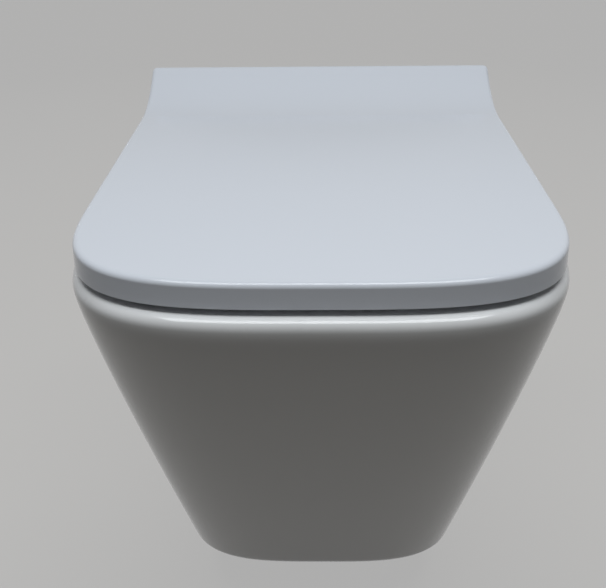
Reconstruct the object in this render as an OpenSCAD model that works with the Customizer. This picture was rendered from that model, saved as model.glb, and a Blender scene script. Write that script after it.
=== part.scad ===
// Wall hung toilet: a tapered ceramic pan with a squared front, a soft closing
// seat and a wrap-over lid whose back sweeps up over the hinges.
// Millimetres. X is to the right, Y points into the wall and Z is up. The origin
// lies on the wall face, midway between the two wall studs that carry the pan.

/* [Pan] */
// Width across the ceramic rim
rim_w = 366; // [362:1:390]
// Depth of the ceramic, from the wall to its front
pan_depth = 548; // [545:1:553]
// Height of the ceramic, from its underside to the rim
pan_h = 350; // [340:1:365]
// Height of the rim above the wall studs
rim_z = 80; // [76:1:90]
// How far each side draws in between the rim and the underside
side_taper = 56; // [40:1:60]
// How far the front draws back between the rim and the underside
front_taper = 177; // [170:1:190]
// How late the front draws back: 1 is a straight slope
front_belly = 1.1; // [1:0.05:1.3]
// Length over which the sides turn in below the rim
side_ease = 3; // [1:1:8]
// Length over which the front turns in below the rim
front_ease = 8; // [2:1:14]
// Length of the front corner curve at the rim
rim_corner = 172; // [150:1:175]
// Length of the front corner curve at the underside
foot_corner = 112; // [100:1:125]
// Squareness of the front corners: 2 is an ellipse
corner_power = 3.5; // [2.8:0.01:4]
// Radius of the rim's outer edge
rim_round = 7.5; // [5:0.5:10]
// Radius of the edge between the sides and the underside
foot_round = 15; // [12:1:24]
// Radius of the pan's back corners, against the wall
back_round = 6; // [4:1:10]
// Thickness of the ceramic walls
wall_t = 11; // [9:0.5:12]
// Thickness of the ceramic deck that carries the hinges
deck_t = 22; // [20:1:25]
// Thickness of the ceramic back against the wall
back_t = 14; // [12:1:18]
// Width of the rim around the opening in the back
back_flange = 30; // [25:1:35]

/* [Bowl] */
// Width of the bowl's mouth
mouth_w = 248; // [240:1:256]
// Ceramic between the pan's front and the bowl's mouth
mouth_front = 67; // [62:1:72]
// Length of the bowl's mouth
mouth_len = 277; // [270:1:283]
// Length of the mouth's front corner curve
mouth_corner = 120; // [100:1:125]
// Radius of the mouth's back corners
mouth_back_round = 70; // [50:1:90]
// Radius of the lip between the rim and the bowl
lip_round = 6; // [4:1:8]
// Depth of the bowl, from the rim to the floor of its sump
bowl_depth = 325; // [322:1:328]
// Width and length of the sump
sump_w = 84; // [76:1:90]
// Distance from the wall to the sump
sump_back = 265; // [258:1:270]
// Radius of the edge of the sump's floor
sump_round = 18; // [12:1:22]

/* [Water ways] */
// Height of the flush inlet above the wall studs
inlet_rise = 35; // [32:1:37]
// Bore of the ceramic inlet socket
inlet_d = 55; // [52:1:58]
// Depth of the inlet socket
inlet_len = 40; // [34:1:46]
// Bore of the duct that leads the flush to the bowl
duct_d = 40; // [34:1:42]
// Depth of the outlet's centre below the wall studs
outlet_drop = 100; // [97:1:104]
// Outer diameter of the outlet spigot
outlet_d = 102; // [100:1:104]
// Bore of the outlet spigot
outlet_bore = 84; // [80:1:86]
// Distance from the wall to the ends of the inlet and the outlet
port_recess = 6; // [4:1:10]
// Length of the outlet spigot
outlet_len = 134; // [128:1:138]
// Bore of the trap
trap_d = 60; // [56:1:62]
// Thickness of the trap's wall
trap_wall = 9; // [7:1:11]
// Distance from the wall to the top bend of the trap
bend_back = 165; // [160:1:172]
// Height of the trap's top bend above the outlet's centre
bend_rise = 8; // [6:1:10]
// Bore of the rubber inlet seal, which takes the flush pipe
flush_pipe_d = 45; // [43:0.5:47]
// Radius of the flush spreader inside the bowl
spreader_r = 42; // [36:1:46]
// Height of the flush spreader
spreader_h = 38; // [34:1:40]
// Wall of the flush spreader
spreader_t = 4; // [3:0.5:5]

/* [Wall fixing] */
// Distance between the two wall studs
stud_gap = 180; // [178:1:182]
// Diameter of a wall stud
stud_d = 12; // [12:1:14]
// Diameter of the stud hole through a bracket
stud_hole_d = 13; // [13:0.5:16]
// Width of a wall bracket
bracket_w = 44; // [40:1:48]
// Height of a wall bracket
bracket_h = 40; // [36:1:46]
// Depth of a wall bracket
bracket_len = 62; // [58:1:70]
// Diameter of a stud washer
washer_d = 26; // [24:1:30]
// Thickness of a stud washer
washer_t = 2.5; // [2:0.1:3]
// Size across the corners of a stud nut
nut_d = 21; // [20:0.5:23]
// Height of a stud nut
nut_h = 10; // [8:0.5:11]
// Distance from the wall to the locking screws
lock_back = 45; // [42:1:48]
// Bore of the ceramic boss around a locking screw
lock_bore = 17; // [16:0.5:18]
// Diameter of a locking screw
lock_screw_d = 10; // [8:1:10]
// Diameter of a side cap
cap_d = 24; // [22:1:28]
// Thickness of a side cap
cap_t = 2; // [1.5:0.1:2.5]

/* [Lid] */
// Width of the lid
lid_w = 360; // [356:1:364]
// Distance from the wall to the lid's front
lid_depth = 540; // [536:1:544]
// Distance from the wall to the lid's back
lid_back = 42; // [41:1:43]
// Gap between the ceramic rim and the lid
lid_gap = 4.8; // [4.5:0.1:6]
// Height of the lid's skirt
skirt_h = 18.6; // [17:0.1:20]
// Thickness of the lid's top
lid_t = 5; // [4:0.1:5]
// Thickness of the lid's skirt
skirt_t = 4.5; // [3:0.1:4.5]
// Length of the lid's front corner curve
lid_corner = 155; // [145:1:170]
// Radius of the lid's two back corners
lid_back_round = 6; // [5:1:8]
// Radius of the lid's top edge
edge_round = 4; // [1:0.1:4]
// Distance from the wall at which the lid starts to sweep up
sweep_start = 140; // [138:1:146]
// Radius of the sweep
sweep_r = 156; // [150:1:178]
// Length of the sweep up to its crest, after which the top runs level
sweep_run = 96; // [92:1:97]
// Radius of the crest
crest_round = 12; // [8:1:15]

/* [Seat] */
// Thickness of the seat ring
seat_t = 10.5; // [9:0.1:10.5]
// Gap between the seat ring and the inside of the lid's skirt
seat_gap = 2.5; // [2:0.1:4]
// Width of the opening in the seat
hole_w = 224; // [215:1:230]
// Width of the seat's bar across the front
front_bar = 62; // [56:1:68]
// Length of the opening in the seat
hole_len = 262; // [255:1:268]
// Length of the opening's front corner curve
hole_corner = 105; // [90:1:112]
// Radius of the opening's back corners
hole_back_round = 62; // [45:1:80]
// Distance from the wall to the seat's back edge
seat_back = 132; // [129:1:136]
// Radius of the seat's edges
seat_round = 3; // [1:0.1:4]
// Diameter of the rubber buffers under the seat
seat_buffer_d = 18; // [14:1:22]
// Diameter of the rubber buffers under the lid
lid_buffer_d = 12; // [8:1:16]
// Distance between the buffers on the left and on the right
buffer_gap = 300; // [290:1:306]
// Distance from the wall to the front buffers
buffer_front = 430; // [410:1:440]
// Distance from the wall to the back buffers
buffer_back = 190; // [180:1:210]

/* [Hinges] */
// Distance between the two hinge bolts
hinge_gap = 155; // [150:1:160]
// Distance from the wall to the hinge bolts
bolt_back = 103; // [102:1:105]
// Distance from the wall to the hinge axis
axis_back = 57; // [57:0.5:60]
// Height of the hinge axis above the rim
axis_rise = 28.5; // [28:0.1:29]
// Diameter of the hinge barrels
barrel_d = 17; // [15:0.5:17]
// Diameter of the damper shafts
shaft_d = 6; // [5:0.1:6.5]
// Diameter of the damper bodies
damper_d = 11.5; // [10.5:0.1:12]
// Width of a hinge body
body_w = 40; // [38:1:42]
// Length of a hinge body's foot
body_len = 44; // [42:1:46]
// Width of a seat ear
seat_ear_w = 12; // [10:1:14]
// Width of a lid ear
lid_ear_w = 10; // [8:1:14]
// Gap between pieces that turn side by side on a hinge
side_gap = 1; // [0.5:0.1:1.5]
// Diameter of the steel plates under the hinge bodies
plate_d = 36; // [32:1:36]
// Thickness of the steel plates
plate_t = 3; // [2.5:0.1:3.5]
// Thickness of the rubber gaskets under the plates
gasket_t = 1; // [0.8:0.1:1.5]
// Diameter of the hinge bolts
bolt_d = 6; // [5:0.5:7]
// Diameter of the holes in the deck for the hinge bolts
deck_hole_d = 14; // [13:0.5:15]
// Diameter of the release buttons
button_d = 12; // [10:0.5:13]
// How far a release button can be pressed
button_travel = 2.4; // [1.5:0.1:2.4]

/* [Hidden] */
$fn = 96;

// Running clearance of a turning fit, on the radius
fit = 0.05;
// Clearance between pieces that are pushed together, on the radius
slip = 0.1;
// Loose clearance of a sliding or covered piece
loose = 0.3;
// Overlap that keeps cuts and joins clean
eps = 1;

// Steps along a front corner curve, and along a back corner
front_steps = 14;
back_steps = 5;
// Levels down the outside of the pan, and how much they crowd towards the rim
side_levels = 12;
level_power = 1.6;
// Levels down the bowl
bowl_levels = 12;
// Steps around a rounded edge of the pan
edge_steps = 4;
// Steps along the lid's straight sides
straight_steps = 3;
// Steps along the lid's sweep, and how much they crowd towards the crest
lid_steps = 12;
lid_power = 1.5;
// Least distance from a back corner to the last of these steps
ring_gap = 0.5;

foot_z = rim_z - pan_h;
deck_under = rim_z - deck_t;
mouth_y0 = mouth_front - pan_depth;
mouth_y1 = mouth_y0 + mouth_len;
sump_y1 = -sump_back;
sump_y0 = sump_y1 - sump_w;
sump_z = rim_z - bowl_depth;

// Ceramic above and below the opening in the back, and the size of its cut corners
back_head = 8;
back_sill = 16;
back_cut = 18;

inlet_r = inlet_d/2;
duct_r = duct_d/2;
// Wall of the inlet socket and of the duct
duct_wall = 9;
// How far the duct reaches past the bowl's mouth, as a bore and with its wall
duct_reach = 15;
duct_start = 4;
// Collar of the rubber inlet seal, and its width beyond the socket's bore
collar_t = 3;
collar_w = 5;
collar_r = inlet_r + collar_w;
// Air behind the inner end of the inlet seal
seal_gap = 2;
outlet_r = outlet_d/2;
outlet_z = -outlet_drop;
trap_r = trap_d/2;
bend_y = -bend_back;
bend_z = outlet_z + bend_rise;
// Extra radius of the trap at its bend
bend_swell = 1;
// Where the trap starts, inside the sump and above its floor
throat_in = 59;
throat_rise = 3;
throat_y = sump_y1 - throat_in;
throat_z = sump_z + trap_r + throat_rise;

// Where the spreader stands before the duct, and the wall of its plug
spreader_y = mouth_y1 - 14;
plug_wall = 3;
plug_len = 28;

stud_x = stud_gap/2;
bracket_side = stud_x + bracket_w/2;
// Ceramic around the bore for a locking screw
boss_wall = 9;
boss_r = lock_bore/2 + boss_wall;
// Slope of the sides, from upright
side_slope = atan(side_taper/(pan_h - rim_round));
// Depth of the threaded seat in a bracket, and the screw's distance from its floor
lock_depth = 13;
lock_gap = 1;
// Where a locking screw and its bush end, under the side cap
lock_recess = 3;
lock_end = pan_half_w(0) - wall_t - lock_recess;
lock_socket = 8;
// Length of the peg behind a side cap, and its clearance in the bore
cap_peg = 6;
peg_gap = 1;

axis_y = -axis_back;
axis_z = rim_z + axis_rise;
lid_top = rim_z + lid_gap + skirt_h;
skirt_z = rim_z + lid_gap;
lid_y0 = -lid_depth;
lid_y1 = -lid_back;
sweep_y = -sweep_start;
// Where the sweep turns into the crest, and how high the crest stands above the flat top
roll_start = sweep_run*sweep_r/(sweep_r + crest_round);
crest_rise = (sweep_r + crest_round)*(1 - cos(asin(roll_start/sweep_r)));
seat_z = skirt_z;
seat_top = seat_z + seat_t;
lid_under = lid_top - lid_t;

barrel_r = barrel_d/2;
// The lid's lower back edge swings clear of the deck by this much
swing_gap = 3;
swing_r = axis_rise - swing_gap;
// Air around the barrels inside the lid
relief_r = barrel_r + 1;
bolt_x = hinge_gap/2;
bolt_y = -bolt_back;
body_x0 = bolt_x - body_w/2;
body_x1 = bolt_x + body_w/2;
seat_ear_x0 = body_x1 + side_gap;
seat_ear_x1 = seat_ear_x0 + seat_ear_w;
lid_ear_x0 = seat_ear_x1 + side_gap;
lid_ear_x1 = lid_ear_x0 + lid_ear_w;
notch_x0 = body_x0 - 2*side_gap;
notch_x1 = lid_ear_x0 - side_gap/2;
body_z = rim_z + gasket_t;
// Tops of the hinge bodies, under the lid
body_top = lid_under - 1;
plate_top = body_z + plate_t;
// Head and hexagon socket of a hinge bolt
head_edge = 2.5;
head_r = bolt_d/2 + head_edge;
head_h = 3.5;
socket_d = 0.75*bolt_d;
socket_floor = 1;
body_y0 = bolt_y - body_len/2;
body_y1 = bolt_y + body_len/2;
button_edge = 2.5;
button_y = body_y0 + button_d/2 + button_edge;
button_len = 6;
button_proud = 0.6;
button_z1 = body_top + button_proud;
button_z0 = button_z1 - button_len;
// Closed end of the barrel, the damper's recess in it and the damper's solid part
barrel_end = 4;
damper_recess = 1;
damper_solid = 15;
damper_x0 = body_x0 + barrel_end;
damper_x1 = body_x1 - damper_recess;
shaft_x0 = damper_x0 + damper_solid;
shaft_x1 = lid_ear_x1 - 1;
bush_wall = 2;
bush_r = shaft_d/2 + bush_wall;
// Rubber anchor under the deck: its length, its bulge and the brass nut below it
anchor_len = 14;
bulge_len = 12;
bulge_w = 3;
bulge_r = deck_hole_d/2 + bulge_w;
anchor_nut_h = 5;
anchor_nut_d = deck_hole_d - 1;
anchor_z0 = deck_under - anchor_len;
nut_z0 = anchor_z0 - anchor_nut_h;
// Bolt that shows below its nut
bolt_tail = 1;
// Edges of the goose-neck arms from the axis forwards, above and below
arm_over = [[axis_y, axis_z + 7], [axis_y - 5, axis_z + 6.5], [axis_y - 15, axis_z + 0.4]];
arm_below = [[axis_y - barrel_r + 1, axis_z - 5], [axis_y, axis_z - 4]];
// Heights of the arm's edges below the axis where it leaves the foot of a hinge body
neck_over = 5;
neck_below = 13;
neck_slope = 9;
// Radius of the seat's back corners, and how far its ears are rooted in the ring
seat_back_round = 12;
ear_root = 8;
// The seat's ears from the axis forwards: where the underside and the top reach the ring,
// and how far below the axis the top still is above it
ear_under_run = 26;
ear_top_run = 44;
ear_drop = 6;
// How far the lid's ears reach forwards of their barrels
web_run = 4;
// Squareness of the bowl's corners at its mouth and at its sump, and how early it narrows
mouth_power = 3;
sump_power = 2.2;
bowl_ease = 0.95;

function mix(a, b, t) = a + (b - a)*t;

// Right half of a level outline, from the middle of its front to its back corner.
// w is its half width, y0 and y1 its front and back, b the length of its front
// corner, n how square that corner is, rr the back corner and ys the points between.
function half_outline(w, y0, y1, b, n, rr, ys) = concat(
    [for (i = [0:front_steps])
        let (t = 90 - 90*i/front_steps)
        [w*pow(cos(t), 2/n), y0 + b*(1 - pow(sin(t), 2/n))]],
    [for (y = ys) [w, y]],
    [for (i = [0:back_steps])
        let (t = 90*i/back_steps)
        [w - rr + rr*cos(t), y1 - rr + rr*sin(t)]]);

// Whole outline from its right half, anticlockwise from above
function whole(half) = concat(half,
    [for (i = [len(half) - 1:-1:1]) [-half[i][0], half[i][1]]]);

// The outline as a ring of points at one height
function level(half, z) = [for (p = whole(half)) [p[0], p[1], z]];

// Size of the pan at a height: half width, front, and front corner length. The taper
// starts softly below the rim, over the run.
function pan_share(z) = max(0, (rim_z - rim_round - z)/(pan_h - rim_round));
function eased(t, run) = let (e = run/(pan_h - rim_round))
    (sqrt(t*t + e*e) - e)/(sqrt(1 + e*e) - e);
function side_share(z) = eased(pan_share(z), side_ease);
function pan_half_w(z) = rim_w/2 - side_taper*side_share(z);
function pan_front(z) = -pan_depth + front_taper*pow(eased(pan_share(z), front_ease), front_belly);
function pan_corner(z) = mix(rim_corner, foot_corner, side_share(z));

// One level of the pan, drawn in by inset, that ends at the back y1
function pan_level(z, inset, y1, rr) =
    let (w = pan_half_w(z) - inset, y0 = pan_front(z) + inset, b = pan_corner(z) - inset)
    level(half_outline(w, y0, y1, b, corner_power, rr, []), z);

// One level of the bowl, at a share of its depth, grown outwards
function bowl_shape(u) = (1 - cos(180*pow(u, bowl_ease)))/2;
function bowl_level(u, grow, z) =
    let (f = bowl_shape(u),
        w = mix(mouth_w, sump_w, f)/2 + grow,
        y0 = mix(mouth_y0, sump_y0, f) - grow,
        y1 = mix(mouth_y1, sump_y1, f) + grow,
        b = mix(mouth_corner, sump_w/2, f) + grow,
        rr = mix(mouth_back_round, sump_w/2 - 1, f) + grow)
    level(half_outline(w, y0, y1, b, mix(mouth_power, sump_power, f), rr, []), z);

// Heights of the lid's top face and of its lower edge, from the distance to the wall.
// The sweep turns into the crest where both have the same slope.
function sweep(y) = let (s = min(max(y - sweep_y, 0), sweep_run))
    s < roll_start ? sweep_r - sqrt(sweep_r*sweep_r - s*s)
    : crest_rise - crest_round + sqrt(crest_round*crest_round - pow(sweep_run - s, 2));
function top_z(y) = lid_top + sweep(y);
function hem_z(y) = y < axis_y ? skirt_z
    : max(skirt_z, axis_z - sqrt(max(0, swing_r*swing_r - pow(y - axis_y, 2))));

// One ring of the lid, drawn in by inset, at its top face or at its lower edge
function lid_half(inset) =
    let (y1 = lid_y1 - inset, rr = max(lid_back_round - inset, 0.5))
    half_outline(lid_w/2 - inset, lid_y0 + inset, y1, lid_corner - inset, corner_power, rr,
        concat([for (i = [1:straight_steps - 1]) mix(lid_y0 + lid_corner, sweep_y, i/straight_steps)],
            [for (i = [lid_steps:-1:0])
                mix(y1 - rr - ring_gap, sweep_y, pow(i/lid_steps, lid_power))]));
function lid_ring_top(inset, drop) = [for (p = whole(lid_half(inset))) [p[0], p[1], top_z(p[1]) - drop]];
function lid_ring_hem(inset) = [for (p = whole(lid_half(inset))) [p[0], p[1], hem_z(p[1])]];

// Solid through a list of rings. Each ring runs anticlockwise from above, and the
// rings go down the outside or up the inside. A loop of rings closes on itself.
module skin(rings, closed = false) {
    n = len(rings[0]);
    half = (n + 1)/2;
    last = len(rings) - 1;
    sides = [for (k = [0:closed ? last : last - 1], j = [0:n - 1])
        let (a = k*n + j, b = k*n + (j + 1)%n,
            c = ((k + 1)%(last + 1))*n + (j + 1)%n, d = ((k + 1)%(last + 1))*n + j)
        each [[a, b, c], [a, c, d]]];
    // Each cap is cut into strips across the width, so it may bend from front to back
    top = [for (j = [1:half - 2]) each [[n - j, n - j - 1, j + 1], [n - j, j + 1, j]]];
    foot = [for (j = [1:half - 2], l = [last*n]) each
        [[l + j, l + j + 1, l + n - j - 1], [l + j, l + n - j - 1, l + n - j]]];
    caps = closed ? [] : concat(top, foot, [[n - 1, 1, 0]], [[last*n, last*n + 1, last*n + n - 1]]);
    polyhedron(points = [for (r = rings) each r], faces = concat(sides, caps));
}

// Straight bar between two points in the plane x = 0
module rod(y0, z0, y1, z1, r) {
    len = norm([y1 - y0, z1 - z0]);
    translate([0, y0, z0])
        rotate([-atan2(y1 - y0, z1 - z0), 0, 0])
        cylinder(r = r, h = len);
}

// Round bar along X, Y or up Z, from one coordinate to another
module bar_x(x0, x1, y, z, r) {
    translate([x0, y, z]) rotate([0, 90, 0]) cylinder(r = r, h = x1 - x0);
}

module bar_y(y0, y1, x, z, r) {
    translate([x, y1, z]) rotate([90, 0, 0]) cylinder(r = r, h = y1 - y0);
}

module bar_z(z0, z1, x, y, r) {
    translate([x, y, z0]) cylinder(r = r, h = z1 - z0);
}

// Profile in the plane of Y and Z, carried from x0 to x1
module side_profile(x0, x1, points) {
    translate([x0, 0, 0])
        rotate([90, 0, 90])
        linear_extrude(x1 - x0) polygon(points);
}

// The children on the right, and again mirrored on the left
module both_sides() {
    for (s = [0, 1]) mirror([s, 0, 0]) children();
}

// Space that the bowl holds, with the flare of the lip at its mouth
module bowl_space() {
    skin(concat(
        [bowl_level(0, lip_round, rim_z + eps)],
        [for (i = [edge_steps:-1:0])
            let (a = 90*i/edge_steps)
            bowl_level(0, lip_round*(1 - cos(a)), rim_z - lip_round*(1 - sin(a)))],
        [for (i = [1:bowl_levels - 1])
            bowl_level(i/bowl_levels, 0, rim_z - bowl_depth*i/bowl_levels)],
        [bowl_level(1, -sump_round, sump_z)]));
}

module pan_outside() {
    skin(concat(
        [for (i = [0:edge_steps])
            let (a = 90*i/edge_steps)
            pan_level(rim_z - rim_round*(1 - cos(a)), rim_round*(1 - sin(a)), 0, back_round)],
        [for (i = [1:side_levels - 1])
            let (t = pow(i/side_levels, level_power))
            pan_level(mix(rim_z - rim_round, foot_z + foot_round, t), 0, 0, back_round)],
        [for (i = [0:edge_steps])
            let (a = 90*i/edge_steps)
            pan_level(foot_z + foot_round*(1 - sin(a)), foot_round*(1 - cos(a)), 0, back_round)]));
}

// Space between the outer skin and the bowl, from the deck down to the foot
module pan_hollow() {
    inner_round = max(1, foot_round - wall_t);
    difference() {
        skin(concat(
            [for (i = [0:side_levels - 1])
                pan_level(mix(deck_under, foot_z + foot_round, i/side_levels), wall_t, -back_t, back_round)],
            [for (i = [0:edge_steps])
                let (a = 90*i/edge_steps)
                pan_level(foot_z + foot_round - inner_round*sin(a),
                    wall_t + inner_round*(1 - cos(a)), -back_t, back_round)]));
        skin(concat(
            [bowl_level(deck_t/bowl_depth, wall_t, deck_under + eps)],
            [for (i = [2:bowl_levels - 1])
                bowl_level(i/bowl_levels, wall_t, rim_z - bowl_depth*i/bowl_levels)],
            [bowl_level(1, wall_t, sump_z), bowl_level(1, 0, sump_z - wall_t)]));
    }
}

// Opening in the back, through which the pipes and the brackets reach the pan
module back_opening() {
    z1 = deck_under - back_head;
    z0 = foot_z + wall_t + back_sill;
    w1 = pan_half_w(z1) - back_flange;
    w0 = pan_half_w(z0) - back_flange;
    translate([0, eps, 0])
        rotate([90, 0, 0])
        linear_extrude(back_t + 2*eps)
        polygon([[-w1, z1 - back_cut], [-w0, z0 + back_cut], [back_cut - w0, z0], [w0 - back_cut, z0],
            [w0, z0 + back_cut], [w1, z1 - back_cut], [w1 - back_cut, z1], [back_cut - w1, z1]]);
}

module pan() {
    socket_y = -port_recess - inlet_len;
    horn_y = -port_recess - outlet_len;
    color("white")
    difference() {
        union() {
            difference() {
                pan_outside();
                pan_hollow();
                back_opening();
            }
            bar_y(socket_y - duct_wall, -port_recess, 0, inlet_rise, inlet_r + duct_wall);
            bar_y(mouth_y1 + duct_start, socket_y, 0, inlet_rise, duct_r + duct_wall);
            bar_y(horn_y, -port_recess, 0, outlet_z, outlet_r);
            bar_y(bend_y, horn_y + eps, 0, bend_z, trap_r + trap_wall);
            translate([0, bend_y, bend_z]) sphere(r = trap_r + trap_wall + bend_swell);
            rod(throat_y, throat_z, bend_y, bend_z, trap_r + trap_wall);
            both_sides() bar_x(bracket_side + loose, pan_half_w(0) - wall_t/2, -lock_back, 0, boss_r);
        }
        bowl_space();
        bar_y(socket_y, eps, 0, inlet_rise, inlet_r);
        bar_y(-port_recess, eps, 0, inlet_rise, collar_r + slip);
        bar_y(mouth_y1 - duct_reach, socket_y + eps, 0, inlet_rise, duct_r);
        bar_y(horn_y + trap_wall, eps, 0, outlet_z, outlet_bore/2);
        bar_y(bend_y, horn_y + trap_wall + eps, 0, bend_z, trap_r);
        translate([0, bend_y, bend_z]) sphere(r = trap_r + bend_swell);
        rod(throat_y, throat_z, bend_y, bend_z, trap_r);
        both_sides() {
            bar_z(deck_under - eps, rim_z + eps, bolt_x, bolt_y, deck_hole_d/2);
            bar_x(bracket_side, rim_w/2 + eps, -lock_back, 0, lock_bore/2);
        }
    }
}

// Plug in the duct's mouth with a curved shield that throws the flush sideways
module flush_spreader() {
    z0 = inlet_rise - spreader_h/2;
    z1 = inlet_rise + spreader_h/2;
    plug_r = duct_r - slip;
    plug_y1 = spreader_y + plug_len;
    color("white")
    difference() {
        union() {
            difference() {
                bar_z(z0, z1, 0, spreader_y, spreader_r);
                bar_z(z0 - eps, z1 - spreader_t, 0, spreader_y, spreader_r - spreader_t);
                translate([-spreader_r - eps, spreader_y, z0 - eps])
                    cube([2*spreader_r + 2*eps, spreader_r + eps, spreader_h + 2*eps]);
            }
            bar_y(spreader_y - plug_wall, plug_y1, 0, inlet_rise, plug_r);
            translate([-plug_r, spreader_y - 2*plug_wall, inlet_rise])
                cube([2*plug_r, 3*plug_wall, z1 - inlet_rise]);
        }
        bar_y(spreader_y - 2*plug_wall - eps, plug_y1 + eps, 0, inlet_rise, plug_r - plug_wall);
    }
}

// Rubber sleeve in the inlet socket, with a collar that butts on its end
module inlet_seal() {
    color("dimgray")
    difference() {
        union() {
            bar_y(-port_recess - inlet_len + seal_gap, -port_recess, 0, inlet_rise, inlet_r - slip);
            bar_y(-port_recess, collar_t - port_recess, 0, inlet_rise, collar_r);
        }
        bar_y(-port_recess - inlet_len, eps, 0, inlet_rise, flush_pipe_d/2);
    }
}

// Block on a wall stud, with a threaded seat for the locking screw in its side
module wall_bracket() {
    color("darkgray")
    difference() {
        translate([stud_x - bracket_w/2, -bracket_len, -bracket_h/2])
            cube([bracket_w, bracket_len, bracket_h]);
        bar_y(-bracket_len - eps, eps, stud_x, 0, stud_hole_d/2);
        bar_x(bracket_side - lock_depth, bracket_side + eps, -lock_back, 0, lock_screw_d/2 + slip);
    }
}

module wall_bracket_left() { mirror([1, 0, 0]) wall_bracket(); }
module wall_bracket_right() { wall_bracket(); }

module stud_washers() {
    color("silver")
    both_sides() difference() {
        bar_y(-bracket_len - washer_t, -bracket_len, stud_x, 0, washer_d/2);
        bar_y(-bracket_len - washer_t - eps, eps, stud_x, 0, stud_hole_d/2);
    }
}

module stud_nuts() {
    y1 = -bracket_len - washer_t;
    color("silver")
    both_sides() difference() {
        translate([stud_x, y1, 0]) rotate([90, 0, 0]) cylinder(d = nut_d, h = nut_h, $fn = 6);
        bar_y(y1 - nut_h - eps, eps, stud_x, 0, stud_d/2 + slip);
    }
}

// Plastic sleeves that keep the locking screws off the ceramic
module lock_bushes() {
    color("whitesmoke")
    both_sides() difference() {
        bar_x(bracket_side + loose, lock_end, -lock_back, 0, lock_bore/2 - slip);
        bar_x(bracket_side, rim_w/2, -lock_back, 0, lock_screw_d/2 + slip);
    }
}

module lock_screws() {
    color("silver")
    both_sides() difference() {
        bar_x(bracket_side - lock_depth + lock_gap, lock_end, -lock_back, 0, lock_screw_d/2);
        translate([lock_end - lock_socket, -lock_back, 0])
            rotate([0, 90, 0]) cylinder(d = 0.6*lock_screw_d, h = lock_socket + eps, $fn = 6);
    }
}

// Round caps that clip into the side holes and lie flat on the sloping sides
module side_caps() {
    color("white")
    both_sides()
        translate([pan_half_w(0), -lock_back, 0])
        rotate([0, 90 + side_slope, 0]) {
            cylinder(d = cap_d, h = cap_t);
            translate([0, 0, -cap_peg]) cylinder(r = lock_bore/2 - peg_gap, h = cap_peg + cap_t/2);
        }
}

module hinge_gaskets() {
    color("dimgray")
    both_sides() difference() {
        bar_z(rim_z, body_z, bolt_x, bolt_y, plate_d/2);
        bar_z(rim_z - eps, body_z + eps, bolt_x, bolt_y, deck_hole_d/2);
    }
}

module hinge_plates() {
    color("silver")
    both_sides() difference() {
        bar_z(body_z, plate_top, bolt_x, bolt_y, plate_d/2);
        bar_z(body_z - eps, plate_top + eps, bolt_x, bolt_y, bolt_d/2 + slip);
    }
}

module hinge_bolts() {
    color("silver")
    both_sides() difference() {
        union() {
            bar_z(nut_z0 - bolt_tail, plate_top + eps, bolt_x, bolt_y, bolt_d/2);
            bar_z(plate_top, plate_top + head_h, bolt_x, bolt_y, head_r);
        }
        translate([bolt_x, bolt_y, plate_top + socket_floor])
            cylinder(d = socket_d, h = head_h, $fn = 6);
    }
}

// Rubber sleeves that the bolts squeeze out under the deck
module hinge_anchors() {
    sleeve_r = deck_hole_d/2 - slip;
    color("dimgray")
    both_sides() difference() {
        union() {
            bar_z(anchor_z0, body_z - slip, bolt_x, bolt_y, sleeve_r);
            bar_z(deck_under - bulge_len, deck_under, bolt_x, bolt_y, bulge_r);
        }
        bar_z(anchor_z0 - eps, body_z + eps, bolt_x, bolt_y, bolt_d/2 + slip);
    }
}

module anchor_nuts() {
    color("goldenrod")
    both_sides() difference() {
        translate([bolt_x, bolt_y, nut_z0]) cylinder(d = anchor_nut_d, h = anchor_nut_h, $fn = 6);
        bar_z(nut_z0 - eps, deck_under, bolt_x, bolt_y, bolt_d/2 + slip);
    }
}

// Cast foot over the steel plate, with an arm back to the barrel that holds the damper
module hinge_body() {
    color("silver")
    difference() {
        union() {
            bar_x(body_x0, body_x1, axis_y, axis_z, barrel_r);
            side_profile(body_x0, body_x1, concat(
                [[body_y0, body_z], [body_y1, body_z], [body_y1, axis_z - neck_below]],
                arm_below, arm_over,
                [[body_y1, axis_z - neck_over], [body_y1 - neck_slope, body_top], [body_y0, body_top]]));
        }
        bar_x(damper_x0, body_x1 + eps, axis_y, axis_z, damper_d/2 + fit);
        bar_z(body_z - eps, plate_top + slip, bolt_x, bolt_y, plate_d/2 + slip);
        bar_z(body_z, plate_top + head_h + loose, bolt_x, bolt_y, head_r + loose);
        bar_z(button_z0 - button_travel - loose, body_top + eps, bolt_x, button_y, button_d/2 + fit);
    }
}

module hinge_body_left() { mirror([1, 0, 0]) hinge_body(); }
module hinge_body_right() { hinge_body(); }

// Sealed oil damper; its bore holds the end of the damper shaft
module damper() {
    color("lightgray")
    difference() {
        bar_x(damper_x0, damper_x1, axis_y, axis_z, damper_d/2);
        bar_x(shaft_x0 - 1, damper_x1 + eps, axis_y, axis_z, shaft_d/2 + fit);
    }
}

module lid_damper() { mirror([1, 0, 0]) damper(); }
module seat_damper() { damper(); }

module damper_shaft() {
    color("silver") bar_x(shaft_x0, shaft_x1, axis_y, axis_z, shaft_d/2);
}

module lid_damper_shaft() { mirror([1, 0, 0]) damper_shaft(); }
module seat_damper_shaft() { damper_shaft(); }

module release_button() {
    color("lightgray") bar_z(button_z0, button_z1, bolt_x, button_y, button_d/2);
}

module release_button_left() { mirror([1, 0, 0]) release_button(); }
module release_button_right() { release_button(); }

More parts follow.
